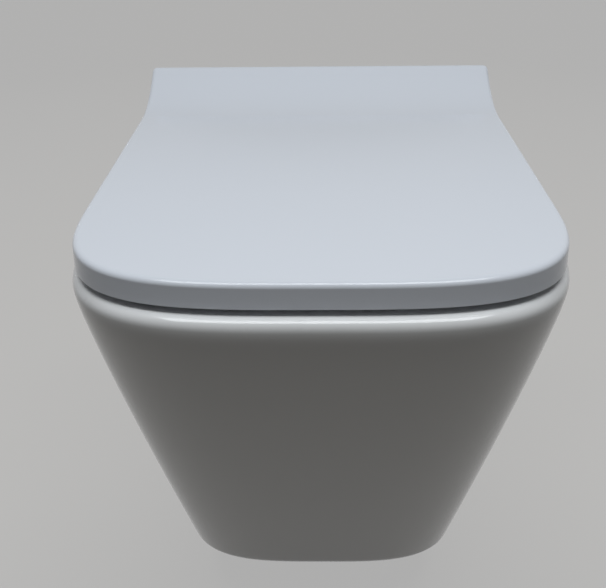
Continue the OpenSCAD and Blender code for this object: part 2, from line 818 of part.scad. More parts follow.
// Flat ring that follows the lid's outline, with two ears that reach back to the axis
module seat_ring() {
    w = lid_w/2 - skirt_t - seat_gap;
    y0 = lid_y0 + skirt_t + seat_gap;
    hy0 = y0 + front_bar;
    corner = lid_corner - skirt_t - seat_gap;
    r = seat_round;
    angles = [for (i = [0:edge_steps]) 90*i/edge_steps];
    outer = [for (a = angles)
        let (d = r*(1 - sin(a)))
        level(half_outline(w - d, y0 + d, -seat_back - d, corner - d, corner_power,
            seat_back_round - d, []), seat_top - r*(1 - cos(a)))];
    foot = level(half_outline(w, y0, -seat_back, corner, corner_power, seat_back_round, []), seat_z);
    function inner(d, z) = level(half_outline(hole_w/2 + d, hy0 - d, hy0 + hole_len + d,
        hole_corner + d, mouth_power, hole_back_round + d, []), z);
    inner_rings = [for (i = [edge_steps:-1:0])
        let (a = 90*i/edge_steps) inner(r*(1 - sin(a)), seat_top - r*(1 - cos(a)))];
    root_y = -seat_back - ear_root;
    color("white")
    difference() {
        union() {
            skin(concat(outer, [foot, inner(0, seat_z)], inner_rings), true);
            both_sides() {
                bar_x(seat_ear_x0, seat_ear_x1, axis_y, axis_z, barrel_r);
                side_profile(seat_ear_x0, seat_ear_x1, concat(arm_over,
                    [[axis_y - ear_under_run, axis_z - ear_drop], [axis_y - ear_top_run, seat_top],
                    [root_y, seat_top], [root_y, seat_z], [axis_y - ear_under_run, seat_z]], arm_below));
            }
        }
        bar_x(seat_ear_x0 - eps, seat_ear_x1 + eps, axis_y, axis_z, shaft_d/2 + fit);
        mirror([1, 0, 0]) bar_x(seat_ear_x0 - eps, seat_ear_x1 + eps, axis_y, axis_z, bush_r + fit);
    }
}

// Nylon bush of the seat's left ear, on the lid's damper shaft
module seat_bush() {
    color("whitesmoke")
    mirror([1, 0, 0]) difference() {
        bar_x(seat_ear_x0, seat_ear_x1, axis_y, axis_z, bush_r);
        bar_x(seat_ear_x0 - eps, seat_ear_x1 + eps, axis_y, axis_z, shaft_d/2 + fit);
    }
}

module buffers(z0, z1, d) {
    for (y = [-buffer_front, -buffer_back])
        both_sides() bar_z(z0, z1, buffer_gap/2, y, d/2);
}

module seat_buffers() {
    color("gainsboro") buffers(rim_z, seat_z, seat_buffer_d);
}

module lid_buffers() {
    color("gainsboro") buffers(seat_top, lid_under, lid_buffer_d);
}

// Webs under the lid that reach down to the hinge axis
module lid_ears() {
    y0 = axis_y - barrel_r - web_run;
    y1 = lid_y1 - skirt_t/2;
    steps = 6;
    both_sides() {
        bar_x(lid_ear_x0, lid_ear_x1, axis_y, axis_z, barrel_r);
        side_profile(lid_ear_x0, lid_ear_x1, concat(
            [for (i = [0:steps]) let (y = mix(y0, y1, i/steps)) [y, top_z(y) - lid_t/2]],
            [[y1, axis_z], [axis_y + barrel_r, axis_z], [axis_y - barrel_r, axis_z]]));
    }
}

module lid() {
    color("white")
    difference() {
        union() {
            difference() {
                skin(concat(
                    [for (i = [0:edge_steps])
                        let (a = 90*i/edge_steps)
                        lid_ring_top(edge_round*(1 - sin(a)), edge_round*(1 - cos(a)))],
                    [lid_ring_hem(0), lid_ring_hem(skirt_t), lid_ring_top(skirt_t, lid_t)]));
                both_sides() {
                    bar_x(notch_x0, notch_x1, axis_y, axis_z, relief_r);
                    translate([notch_x0, lid_y1 - skirt_t - eps, skirt_z - eps])
                        cube([notch_x1 - notch_x0, skirt_t + 2*eps, top_z(lid_y1) - lid_t - skirt_z + eps]);
                }
            }
            lid_ears();
        }
        mirror([1, 0, 0]) bar_x(lid_ear_x0 - eps, lid_ear_x1 + eps, axis_y, axis_z, shaft_d/2 + fit);
        bar_x(lid_ear_x0 - eps, lid_ear_x1 + eps, axis_y, axis_z, bush_r + fit);
    }
}

// Nylon bush of the lid's right ear, on the seat's damper shaft
module lid_bush() {
    color("whitesmoke")
    difference() {
        bar_x(lid_ear_x0, lid_ear_x1, axis_y, axis_z, bush_r);
        bar_x(lid_ear_x0 - eps, lid_ear_x1 + eps, axis_y, axis_z, shaft_d/2 + fit);
    }
}

pan();
flush_spreader();
inlet_seal();
wall_bracket_left();
wall_bracket_right();
stud_washers();
stud_nuts();
lock_bushes();
lock_screws();
side_caps();
hinge_gaskets();
hinge_plates();
hinge_bolts();
hinge_anchors();
anchor_nuts();
hinge_body_left();
hinge_body_right();
lid_damper();
seat_damper();
release_button_left();
release_button_right();
seat_ring();
seat_buffers();
seat_bush();
seat_damper_shaft();
lid();
lid_buffers();
lid_bush();
lid_damper_shaft();
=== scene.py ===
# Wall hung toilet: a tapered ceramic pan with a squared front, a soft closing seat and a
# lid that wraps over the seat and sweeps up at the back. Metres, in the part's own frame:
# X is to the right, Y goes into the wall, Z is up, and the origin is between the wall studs.
import math

import bmesh
import bpy
import numpy as np
from mathutils import Matrix, Vector


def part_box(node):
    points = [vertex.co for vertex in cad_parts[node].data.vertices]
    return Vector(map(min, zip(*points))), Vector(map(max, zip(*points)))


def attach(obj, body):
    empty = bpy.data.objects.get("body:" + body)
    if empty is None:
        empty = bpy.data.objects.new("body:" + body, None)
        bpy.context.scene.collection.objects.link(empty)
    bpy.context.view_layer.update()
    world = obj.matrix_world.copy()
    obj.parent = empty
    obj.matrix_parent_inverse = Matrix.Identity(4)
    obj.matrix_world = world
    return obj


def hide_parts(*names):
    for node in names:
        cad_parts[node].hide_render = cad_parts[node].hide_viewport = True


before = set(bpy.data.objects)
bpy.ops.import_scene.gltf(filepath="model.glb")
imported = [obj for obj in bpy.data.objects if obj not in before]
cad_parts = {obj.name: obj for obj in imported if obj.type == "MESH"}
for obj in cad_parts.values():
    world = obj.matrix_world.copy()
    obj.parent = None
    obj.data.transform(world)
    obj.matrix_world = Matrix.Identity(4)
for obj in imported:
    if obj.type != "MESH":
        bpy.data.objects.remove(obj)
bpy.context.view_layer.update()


# Ceramic pan. One slip-cast body of vitreous china with the bowl, the flush duct, the trap
# and the deck in it, hollow behind the bowl and open at the back. It is glazed white, apart
# from the ground back that stands against the wall and the inside of the hollow.
pan_low, pan_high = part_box("pan")
rim_z = pan_high.z
foot_z = pan_low.z
pan_h = rim_z - foot_z
rim_half = pan_high.x
pan_depth = -pan_low.y
side_taper = 0.056
front_taper = 0.177
front_belly = 1.1
side_ease = 0.003
front_ease = 0.008
rim_corner = 0.172
foot_corner = 0.112
corner_power = 3.5
rim_round = 0.0075
foot_round = 0.015
back_round = 0.006
wall_t = 0.011
deck_t = 0.022
back_t = 0.014
mouth_half = 0.124
mouth_y0 = 0.067 - pan_depth
mouth_y1 = mouth_y0 + 0.277
mouth_corner = 0.120
mouth_back_round = 0.070
lip_round = 0.006
bowl_depth = 0.325
sump_half = 0.042
sump_y1 = -0.265
sump_y0 = sump_y1 - 2*sump_half
sump_z = rim_z - bowl_depth
sump_round = 0.018
back_flange = 0.030
back_cut = 0.018
front_steps = 64
side_steps = 16
corner_steps = 8
edge_steps = 10
side_levels = 48
side_crowding = 1.6
bowl_levels = 48
sump_level = 44
hollow_levels = 20
shell_levels = 24
# Points within the weld count as one, and a tool reaches over past what it cuts
weld = 1e-6
over = 0.001


def mix(a, b, share):
    """Value that lies a share of the way from a to b"""
    return a + (b - a)*share


def quarter(steps=edge_steps):
    """Turns of a rounded edge, from 0 to a right angle"""
    return np.linspace(0, math.pi/2, steps + 1)


def half_outline(half, front, back, corner, power, back_corner, between=()):
    """Right half of a level outline, from the middle of its front to its back corner"""
    turn = np.linspace(math.pi/2, 0, front_steps + 1)
    curve = np.column_stack([half*np.cos(turn).clip(0)**(2/power),
                             front + corner*(1 - np.sin(turn)**(2/power))])
    side_y = [mix(front + corner, back - back_corner, i/side_steps) for i in range(1, side_steps)]
    side = [[half, y] for y in (between if len(between) else side_y)]
    bend = np.linspace(0, math.pi/2, corner_steps + 1)
    back_curve = np.column_stack([half - back_corner + back_corner*np.cos(bend),
                                  back - back_corner + back_corner*np.sin(bend)])
    return np.vstack([curve, side, back_curve])


def ring(half, height):
    """Whole outline, anticlockwise from above, at a height or at a height for each Y"""
    whole = np.vstack([half, half[:0:-1]*(-1, 1)])
    z = height(whole[:, 1]) if callable(height) else np.full(len(whole), height)
    return np.column_stack([whole, z])


def alone(piece):
    """Select a piece and nothing else"""
    bpy.ops.object.select_all(action="DESELECT")
    piece.select_set(True)
    bpy.context.view_layer.objects.active = piece
    return piece


def settled(name):
    """Name the shape that was just added, and put its place into its mesh"""
    piece = alone(bpy.context.active_object)
    bpy.ops.object.transform_apply(location=True, rotation=True, scale=True)
    piece.name = name
    piece.data.name = name
    return piece


def loft(name, rings, closed=False, strips=False):
    """A net rolled into a tube through rings of points, its seam welded and its ends filled,
    or closed by strips across it where the ends bend from front to back"""
    rings = list(rings) + ([rings[0]] if closed else [])
    around = len(rings[0])
    bpy.ops.object.select_all(action="DESELECT")
    bpy.ops.mesh.primitive_grid_add(x_subdivisions=around, y_subdivisions=len(rings) - 1)
    piece = settled(name)
    points = np.array([np.vstack([r, r[:1]]) for r in rings]).reshape(-1, 3)
    piece.data.vertices.foreach_set("co", points.ravel())
    if strips:
        ends = bmesh.new()
        ends.from_mesh(piece.data)
        ends.verts.ensure_lookup_table()
        for first in (0, (around + 1)*(len(rings) - 1)):
            for j in range((around - 1)//2):
                corners = {first + k: None for k in (around - j, j, j + 1, around - j - 1)}
                ends.faces.new([ends.verts[k] for k in corners])
        ends.to_mesh(piece.data)
        ends.free()
    bpy.ops.object.mode_set(mode="EDIT")
    bpy.ops.mesh.select_all(action="SELECT")
    bpy.ops.mesh.remove_doubles(threshold=weld)
    if not closed and not strips:
        bpy.ops.mesh.fill_holes(sides=0)
    bpy.ops.mesh.select_all(action="SELECT")
    bpy.ops.mesh.normals_make_consistent(inside=False)
    bpy.ops.object.mode_set(mode="OBJECT")
    return piece


def bar(start, end, radius, sides=96, name="bar"):
    """Round bar between two points"""
    start, end = Vector(start), Vector(end)
    along = end - start
    bpy.ops.object.select_all(action="DESELECT")
    bpy.ops.mesh.primitive_cylinder_add(
        vertices=sides, radius=radius, depth=along.length, location=(start + end)/2,
        rotation=along.to_track_quat("Z", "Y").to_euler())
    return settled(name)


def apply_modifier(piece, kind, **settings):
    """Finish a piece with one modifier"""
    alone(piece)
    change = piece.modifiers.new(kind.lower(), kind)
    for setting, value in settings.items():
        setattr(change, setting, value)
    bpy.ops.object.modifier_apply(modifier=change.name)
    return piece


def combine(piece, operation, *tools):
    """Cut tools out of a piece or add them to it, and clear them away"""
    for tool in tools:
        if piece.data.materials and not tool.data.materials:
            tool.data.materials.append(piece.data.materials[0])
        apply_modifier(piece, "BOOLEAN", operation=operation, solver="MANIFOLD", object=tool)
        bpy.data.objects.remove(tool)
    return piece


def mirrored(piece, name):
    """A copy of a piece on the other side of the middle, with its own mesh"""
    copy = piece.copy()
    copy.name = name
    copy.data = piece.data.copy()
    bpy.context.scene.collection.objects.link(copy)
    copy.data.transform(Matrix.Scale(-1, 4, (1, 0, 0)))
    copy.data.flip_normals()
    return copy


def soften(piece, width, steps=3, angle=40):
    """Round every edge that is sharper than an angle"""
    return apply_modifier(piece, "BEVEL", width=width, segments=steps, limit_method="ANGLE",
                          angle_limit=math.radians(angle), harden_normals=False)


def smooth(piece, angle=32):
    """Weld the slivers that cuts leave behind, and shade a piece smooth over gentle bends, with
    large flat faces kept flat"""
    alone(piece)
    bpy.ops.object.mode_set(mode="EDIT")
    bpy.ops.mesh.select_all(action="SELECT")
    bpy.ops.mesh.remove_doubles(threshold=2*weld)
    bpy.ops.mesh.dissolve_degenerate(threshold=2*weld)
    bpy.ops.object.mode_set(mode="OBJECT")
    bpy.ops.object.shade_smooth_by_angle(angle=math.radians(angle))
    return apply_modifier(piece, "WEIGHTED_NORMAL", keep_sharp=True)


def pan_share(z):
    """Share of the way from the rim's edge down to the foot"""
    return max(0, (rim_z - rim_round - z)/(pan_h - rim_round))


def eased(share, run):
    """Share of a taper that starts softly below the rim, over the run"""
    soft = run/(pan_h - rim_round)
    return (math.hypot(share, soft) - soft)/(math.hypot(1, soft) - soft)


def pan_half(z):
    """Half of the pan's width at a height"""
    return rim_half - side_taper*eased(pan_share(z), side_ease)


def pan_level(z, inset=0.0, back=0.0):
    """Outline of the pan at a height, drawn in by inset"""
    share = pan_share(z)
    front = -pan_depth + front_taper*eased(share, front_ease)**front_belly + inset
    corner = mix(rim_corner, foot_corner, eased(share, side_ease)) - inset
    return ring(half_outline(pan_half(z) - inset, front, back, corner, corner_power, back_round), z)


def bowl_level(share, grow, z):
    """Outline of the bowl at a share of its depth, grown outwards"""
    close = (1 - math.cos(math.pi*share**0.95))/2
    return ring(half_outline(
        mix(mouth_half, sump_half, close) + grow, mix(mouth_y0, sump_y0, close) - grow,
        mix(mouth_y1, sump_y1, close) + grow, mix(mouth_corner, sump_half, close) + grow,
        mix(3, 2.2, close), mix(mouth_back_round, sump_half - 0.001, close) + grow), z)


class Signal:
    """A shader socket that adds, takes away and multiplies like a number"""

    def __init__(self, tree, socket=None):
        self.tree = tree
        self.socket = socket

    def node(self, kind, settings=(), inputs=(), output=0):
        """Add a node: its settings first, then the values or links of its sockets"""
        made = self.tree.nodes.new("ShaderNode" + kind)
        for setting, value in dict(settings).items():
            if setting == "stops":
                for stop, position in zip(made.color_ramp.elements, value):
                    stop.position = position
            else:
                setattr(made, setting, value)
        for socket, value in dict(inputs).items():
            if isinstance(value, Signal):
                self.tree.links.new(value.socket, made.inputs[socket])
            else:
                made.inputs[socket].default_value = value
        return Signal(self.tree, made.outputs[output])

    def math(self, operation, first, second):
        return self.node("Math", {"operation": operation}, {0: first, 1: second})

    def __add__(self, other):
        return self.math("ADD", self, other)

    def __mul__(self, other):
        return self.math("MULTIPLY", self, other)

    def __sub__(self, other):
        return self.math("SUBTRACT", self, other)

    def __rsub__(self, other):
        return self.math("SUBTRACT", other, self)

    __radd__ = __add__
    __rmul__ = __mul__

    def place(self):
        """Where on the piece a point lies, in metres"""
        return self.node("TexCoord", output="Object")

    def noise(self, scale, detail=2.0, roughness=0.5, stretch=None):
        """Soft random pattern, from 0 to 1, with scale patches to the metre"""
        where = self.place()
        if stretch:
            where = self.node("Mapping", {}, {"Vector": where, "Scale": stretch})
        return self.node("TexNoise", {}, {"Vector": where, "Scale": scale, "Detail": detail,
                                          "Roughness": roughness}, "Fac")

    def blend(self, share, first, second):
        """One colour turning into another"""
        inputs = {0: share, 6: first + (1,), 7: second + (1,)}
        return self.node("Mix", {"data_type": "RGBA"}, inputs, 2)

    def bumps(self, height, depth):
        """Relief of a given depth, in metres"""
        inputs = {"Strength": 1.0, "Distance": depth, "Height": height}
        return self.node("Bump", {}, inputs, "Normal")


def finish(name, varying, **constants):
    """A material: constants go on the shader's own sockets, and varying gives the rest"""
    material = bpy.data.materials.new(name)
    material.use_nodes = True
    tree = material.node_tree
    shader = tree.nodes["Principled BSDF"]
    for socket, value in constants.items():
        shader.inputs[socket.replace("_", " ")].default_value = value
    for socket, signal in varying(Signal(tree)).items():
        tree.links.new(signal.socket, shader.inputs[socket])
    return material


def glaze_pattern(s):
    return {
        "Base Color": s.blend(s.noise(7, 1), (0.80, 0.80, 0.80), (0.83, 0.83, 0.825)),
        "Roughness": 0.035 + 0.05*s.noise(45, 3),
        "Normal": s.bumps(s.noise(11, 0.5), 0.0003),
    }


def china_pattern(s):
    grain = s.noise(900, 4, 0.7)
    return {
        "Base Color": s.blend(s.noise(25, 4), (0.72, 0.69, 0.63), (0.80, 0.78, 0.73)),
        "Roughness": 0.62 + 0.2*grain,
        "Normal": s.bumps(grain, 0.0002),
    }


glaze = finish("white_glaze", glaze_pattern, IOR=1.54)
china = finish("bare_china", china_pattern, IOR=1.5)

rim_arc = [pan_level(rim_z - rim_round*(1 - math.cos(a)), rim_round*(1 - math.sin(a)))
           for a in quarter()]
sides = [pan_level(mix(rim_z - rim_round, foot_z + foot_round, (i/side_levels)**side_crowding))
         for i in range(1, side_levels)]
foot_arc = [pan_level(foot_z + foot_round*(1 - math.sin(a)), foot_round*(1 - math.cos(a)))
            for a in quarter()]
pan = loft("ceramic_pan", rim_arc + sides + foot_arc)
pan.data.materials.append(glaze)

# Hollow of the ceramic, its back opening and the ways of the water, cut and added in turn
inner_round = foot_round - wall_t
hollow_sides = [pan_level(mix(rim_z - deck_t, foot_z + foot_round, i/hollow_levels), wall_t,
                          -back_t) for i in range(hollow_levels)]
hollow_foot = [pan_level(foot_z + foot_round - inner_round*math.sin(a),
                         wall_t + inner_round*(1 - math.cos(a)), -back_t) for a in quarter(4)]
hollow = loft("hollow", hollow_sides + hollow_foot)
shell_top = bowl_level(deck_t/bowl_depth, wall_t, rim_z - deck_t + over)
shell_sides = [bowl_level(i/shell_levels, wall_t, rim_z - bowl_depth*i/shell_levels)
               for i in range(2, shell_levels)]
shell_foot = [bowl_level(1, wall_t, sump_z), bowl_level(1, 0, sump_z - wall_t)]
bowl_outside = loft("bowl_outside", [shell_top] + shell_sides + shell_foot)
hollow.data.materials.append(china)
bowl_outside.data.materials.append(china)
combine(hollow, "DIFFERENCE", bowl_outside)

opening_drop = 0.008
opening_rise = 0.016
opening_round = 0.008
opening_top = rim_z - deck_t - opening_drop
opening_foot = foot_z + wall_t + opening_rise
top_half = pan_half(opening_top) - back_flange
foot_half = pan_half(opening_foot) - back_flange
right_edge = [(foot_half - back_cut, opening_foot), (foot_half, opening_foot + back_cut),
              (top_half, opening_top - back_cut), (top_half - back_cut, opening_top)]
opening_edge = right_edge + [(-x, z) for x, z in right_edge[::-1]]


def extruded(name, points, along):
    """Flat outline, filled and extruded"""
    bpy.ops.object.select_all(action="DESELECT")
    bpy.ops.mesh.primitive_circle_add(vertices=len(points), fill_type="NGON")
    piece = settled(name)
    piece.data.vertices.foreach_set("co", np.array(points).ravel())
    bpy.ops.object.mode_set(mode="EDIT")
    bpy.ops.mesh.select_all(action="SELECT")
    bpy.ops.mesh.extrude_region_move(TRANSFORM_OT_translate={"value": along})
    bpy.ops.mesh.select_all(action="SELECT")
    bpy.ops.mesh.normals_make_consistent(inside=False)
    bpy.ops.object.mode_set(mode="OBJECT")
    return piece


back_opening = extruded("back_opening", [(x, over, z) for x, z in opening_edge],
                        (0, -back_t - 2*over, 0))
soften(back_opening, opening_round, 5, 20)
back_opening.data.materials.append(china)
combine(pan, "DIFFERENCE", hollow, back_opening)

inlet_z = 0.035
inlet_r = 0.0275
duct_r = 0.020
duct_wall = 0.009
duct_y0 = mouth_y1 + 0.004
duct_bore_y0 = mouth_y1 - 0.015
port_recess = 0.006
socket_depth = 0.040
socket_y = -port_recess - socket_depth
collar_r = inlet_r + 0.005
outlet_z = -0.100
outlet_r = 0.051
outlet_bore_r = 0.042
spigot_len = 0.134
horn_y = -port_recess - spigot_len
trap_r = 0.030
trap_wall = 0.009
bend_swell = 0.001
bend = Vector((0, -0.165, outlet_z + 0.008))
throat = Vector((0, sump_y1 - 0.059, sump_z + trap_r + 0.003))
lock_y = -0.045
lock_r = 0.0085
boss_wall = 0.009
bracket_side = 0.112
bolt_x = 0.0775
bolt_y = -0.103
deck_hole_r = 0.007
# Room around another piece: fit where it turns, slip where it is pushed in, loose elsewhere
fit = 0.00005
slip = 0.0001
loose = 0.0003


def ball(centre, radius):
    """Ball around a point"""
    bpy.ops.object.select_all(action="DESELECT")
    bpy.ops.mesh.primitive_uv_sphere_add(segments=64, ring_count=32, radius=radius,
                                         location=centre)
    return settled("ball")


combine(
    pan, "UNION",
    soften(bar((0, socket_y - duct_wall, inlet_z), (0, -port_recess, inlet_z), inlet_r + duct_wall),
           0.002),
    bar((0, duct_y0, inlet_z), (0, socket_y, inlet_z), duct_r + duct_wall),
    soften(bar((0, horn_y, outlet_z), (0, -port_recess, outlet_z), outlet_r), 0.003),
    bar(bend, (0, horn_y + over, bend.z), trap_r + trap_wall),
    ball(bend, trap_r + trap_wall + bend_swell),
    bar(throat, bend, trap_r + trap_wall),
    *[bar((side*(bracket_side + loose), lock_y, 0), (side*(pan_half(0) - wall_t/2), lock_y, 0),
          lock_r + boss_wall) for side in (1, -1)])

lip = [bowl_level(0, lip_round*(1 - math.cos(a)), rim_z - lip_round*(1 - math.sin(a)))
       for a in quarter()[::-1]]
walls = [bowl_level(i/bowl_levels, 0, rim_z - bowl_depth*i/bowl_levels)
         for i in range(2, sump_level)]
low_z = rim_z - bowl_depth*sump_level/bowl_levels
sump = [bowl_level(sump_level/bowl_levels, -sump_round*(1 - math.cos(a)),
                   mix(low_z, sump_z, math.sin(a))) for a in quarter()]
bowl_space = loft("bowl_space", [bowl_level(0, lip_round, rim_z + over)] + lip + walls + sump)
bowl_space.data.materials.append(glaze)
combine(
    pan, "DIFFERENCE",
    bowl_space,
    bar((0, socket_y, inlet_z), (0, over, inlet_z), inlet_r),
    bar((0, -port_recess, inlet_z), (0, over, inlet_z), collar_r + slip),
    bar((0, duct_bore_y0, inlet_z), (0, socket_y + over, inlet_z), duct_r),
    bar((0, horn_y + trap_wall, outlet_z), (0, over, outlet_z), outlet_bore_r),
    bar(bend, (0, horn_y + trap_wall + over, bend.z), trap_r),
    ball(bend, trap_r + bend_swell),
    bar(throat, bend, trap_r),
    *[bar((side*bolt_x, bolt_y, rim_z - deck_t - over), (side*bolt_x, bolt_y, rim_z + over),
          deck_hole_r) for side in (1, -1)],
    *[bar((side*bracket_side, lock_y, 0), (side*(rim_half + over), lock_y, 0), lock_r)
      for side in (1, -1)])
smooth(pan)
ground = pan.data.materials.find(china.name)
for face in pan.data.polygons:
    if face.center.y > -0.0005:
        face.material_index = ground
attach(pan, "pan")
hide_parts("pan")


# Flush spreader. A moulded white hood that is plugged into the duct's mouth, under the rim at
# the back of the bowl, and throws the flush sideways and down. Its plug has three grip rings.
def rounded(corners, steps=4):
    """Closed outline through corners (x, y, radius), each rounded by its radius"""
    outline = []
    for k, (x, y, radius) in enumerate(corners):
        corner = Vector((x, y))
        before = (Vector(corners[k - 1][:2]) - corner).normalized()
        after = (Vector(corners[(k + 1) % len(corners)][:2]) - corner).normalized()
        if not radius:
            outline.append(corner)
            continue
        half_angle = before.angle(after)/2
        centre = corner + (before + after).normalized()*radius/math.sin(half_angle)
        start = corner + before*radius/math.tan(half_angle) - centre
        end = corner + after*radius/math.tan(half_angle) - centre
        outline += [centre + start.lerp(end, i/steps).normalized()*radius for i in range(steps + 1)]
    return outline


def turned(name, outline, centre, axis, sides=96):
    """Outline of points (distance from the axis, height along it), spun into a solid"""
    centre, axis = Vector(centre), Vector(axis)
    outwards = axis.orthogonal().normalized()
    bpy.ops.object.select_all(action="DESELECT")
    bpy.ops.mesh.primitive_circle_add(vertices=len(outline), fill_type="NOTHING")
    piece = settled(name)
    points = [centre + outwards*point[0] + axis*point[1] for point in outline]
    piece.data.vertices.foreach_set("co", np.array(points).ravel())
    bpy.ops.object.mode_set(mode="EDIT")
    bpy.ops.mesh.select_all(action="SELECT")
    bpy.ops.mesh.spin(steps=sides, angle=2*math.pi, center=centre, axis=axis)
    bpy.ops.mesh.select_all(action="SELECT")
    bpy.ops.mesh.remove_doubles(threshold=weld)
    bpy.ops.mesh.normals_make_consistent(inside=False)
    bpy.ops.object.mode_set(mode="OBJECT")
    return piece


def fitted(piece, material, body, slot, *nodes):
    """Give a piece its finish, and put it in its place in the assembly"""
    piece.data.materials.clear()
    piece.data.materials.append(material)
    smooth(piece)
    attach(piece, body)
    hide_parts(*nodes)


hood_low, hood_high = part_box("flush_spreader")
hood_r = hood_high.x
hood_y = hood_low.y + hood_r
hood_t = 0.004
hood_round = 0.006
hood_lip = 0.0015
plug_r = duct_r - slip
plug_t = 0.003
plug_y1 = hood_high.y
grips = 3
grip_start = 0.004
grip_pitch = 0.006
grip_depth = 0.0007
grip_half = 0.001
grip_flare = 0.0005
beyond = 0.1
hood = turned("flush_spreader", rounded([
    (0, hood_high.z, 0), (hood_r, hood_high.z, hood_round), (hood_r, hood_low.z, hood_lip),
    (hood_r - hood_t, hood_low.z, hood_lip), (hood_r - hood_t, hood_high.z - hood_t, hood_round/2),
    (0, hood_high.z - hood_t, 0)]), (0, hood_y, 0), (0, 0, 1), 128)
back_half = extruded("back_half", [
    (x, y, hood_low.z - over) for x, y in (
        (-beyond, hood_y), (beyond, hood_y), (beyond, 0), (-beyond, 0))], (0, 0, beyond))
stay_y0, stay_y1 = hood_y - 2*plug_t, hood_y + plug_t
stay = extruded("stay", [
    (side*plug_r, y, inlet_z) for side, y in (
        (-1, stay_y0), (1, stay_y0), (1, stay_y1), (-1, stay_y1))], (0, 0, hood_high.z - inlet_z))
combine(hood, "DIFFERENCE", back_half)
combine(hood, "UNION", stay, bar((0, hood_y - plug_t, inlet_z), (0, plug_y1, inlet_z), plug_r))
for k in range(grips):
    grip_y = plug_y1 - grip_start - k*grip_pitch
    groove = [(plug_r - grip_depth, grip_y - grip_half),
              (plug_r + over, grip_y - grip_half - grip_flare),
              (plug_r + over, grip_y + grip_half + grip_flare),
              (plug_r - grip_depth, grip_y + grip_half)]
    combine(hood, "DIFFERENCE", turned("groove", groove, (0, 0, inlet_z), (0, 1, 0)))
combine(hood, "DIFFERENCE",
        bar((0, hood_low.y, inlet_z), (0, plug_y1 + over, inlet_z), plug_r - plug_t))


def moulding_pattern(s):
    return {
        "Base Color": s.blend(s.noise(30), (0.74, 0.745, 0.73), (0.77, 0.77, 0.76)),
        "Roughness": 0.30 + 0.12*s.noise(220, 3),
        "Normal": s.bumps(s.noise(1400, 1), 0.00003),
    }


moulding = finish("moulded_white", moulding_pattern, IOR=1.46)
fitted(hood, moulding, "pan", "moulded_white", "flush_spreader")


# Inlet seal. A black rubber sleeve with sealing ribs outside and lips inside, pushed into the
# china socket from behind. Its collar stops it at the socket's end. It takes the flush pipe.
seal_low, seal_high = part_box("inlet_seal")
sleeve_r = inlet_r - slip
sleeve_bore = 0.0225
rib_h = 0.0008
rib_rise = 0.003
rib_half = 0.0006
rib_fall = 0.0014
rib_y = [mix(seal_low.y, -port_recess, share) for share in (0.25, 0.5, 0.75)]
outside = [(sleeve_r - rib_h, seal_low.y, 0.001)]
for y in rib_y:
    outside += [(sleeve_r - rib_h, y - rib_rise, 0.0005), (sleeve_r, y - rib_half, 0.0004),
                (sleeve_r, y + rib_half, 0.0004), (sleeve_r - rib_h, y + rib_fall, 0.0003)]
outside += [(sleeve_r - rib_h, -port_recess, 0.0004), (seal_high.x, -port_recess, 0.0008),
            (seal_high.x, seal_high.y, 0.0012)]
inside = [(sleeve_bore, seal_high.y, 0.001), (sleeve_bore + rib_h, seal_high.y - 0.004, 0.0005)]
for y in rib_y[::-1]:
    inside += [(sleeve_bore + rib_h, y + rib_rise, 0.0005), (sleeve_bore, y + rib_half, 0.0004),
               (sleeve_bore, y - rib_half, 0.0004), (sleeve_bore + rib_h, y - rib_fall, 0.0003)]
inside += [(sleeve_bore + rib_h, seal_low.y, 0.001)]
seal = turned("inlet_seal", rounded(outside + inside, 3), (0, 0, inlet_z), (0, 1, 0))


def black_rubber_pattern(s):
    bloom = s.noise(60, 5, 0.65)
    return {
        "Base Color": s.blend(bloom, (0.016, 0.016, 0.017), (0.042, 0.042, 0.041)),
        "Roughness": 0.52 + 0.3*bloom,
        "Normal": s.bumps(s.noise(1800, 2), 0.00005),
    }


black_rubber = finish("black_rubber", black_rubber_pattern)
fitted(seal, black_rubber, "pan", "black_rubber", "inlet_seal")


# Wall brackets. Two cast blocks, painted charcoal, that slide onto the wall studs inside the
# pan. Each has a hole for its stud and, in its side, a seat for the screw that locks the pan.
stud_x = 0.090
bracket_low, bracket_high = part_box("wall_bracket_right")
stud_hole_r = 0.0065
lock_screw_r = 0.005
lock_depth = 0.013
pocket_edge = 0.006
pocket_depth = 0.004
cast_round = 0.0018
mouth_flare = 0.0008


def bore(centre, axis, radius, start, end, blind=False, flare=mouth_flare):
    """Tool that bores from start to end along an axis, and bevels the mouths"""
    outline = [(0, start - over), (radius + flare + over, start - over), (radius, start + flare)]
    if blind:
        outline += [(radius, end), (0, end)]
    else:
        outline += [(radius, end - flare), (radius + flare + over, end + over), (0, end + over)]
    return turned("bore", outline, centre, axis)


bpy.ops.object.select_all(action="DESELECT")
bpy.ops.mesh.primitive_cube_add(size=1, location=(bracket_low + bracket_high)/2,
                                scale=bracket_high - bracket_low)
bracket = settled("wall_bracket_right")
bpy.ops.object.mode_set(mode="EDIT")
bpy.ops.mesh.select_mode(type="FACE")
bpy.ops.mesh.select_all(action="DESELECT")
bpy.ops.object.mode_set(mode="OBJECT")
for face in bracket.data.polygons:
    face.select = abs(face.normal.z) > 0.9
bpy.ops.object.mode_set(mode="EDIT")
bpy.ops.mesh.inset(thickness=pocket_edge, use_individual=True)
bpy.ops.mesh.inset(thickness=pocket_depth/4, depth=-pocket_depth, use_individual=True)
bpy.ops.object.mode_set(mode="OBJECT")
soften(bracket, cast_round)
combine(bracket, "DIFFERENCE",
        bore((stud_x, 0, 0), (0, 1, 0), stud_hole_r, bracket_low.y, 0),
        bore((0, lock_y, 0), (-1, 0, 0), lock_screw_r + slip, -bracket_side,
             lock_depth - bracket_side, True))


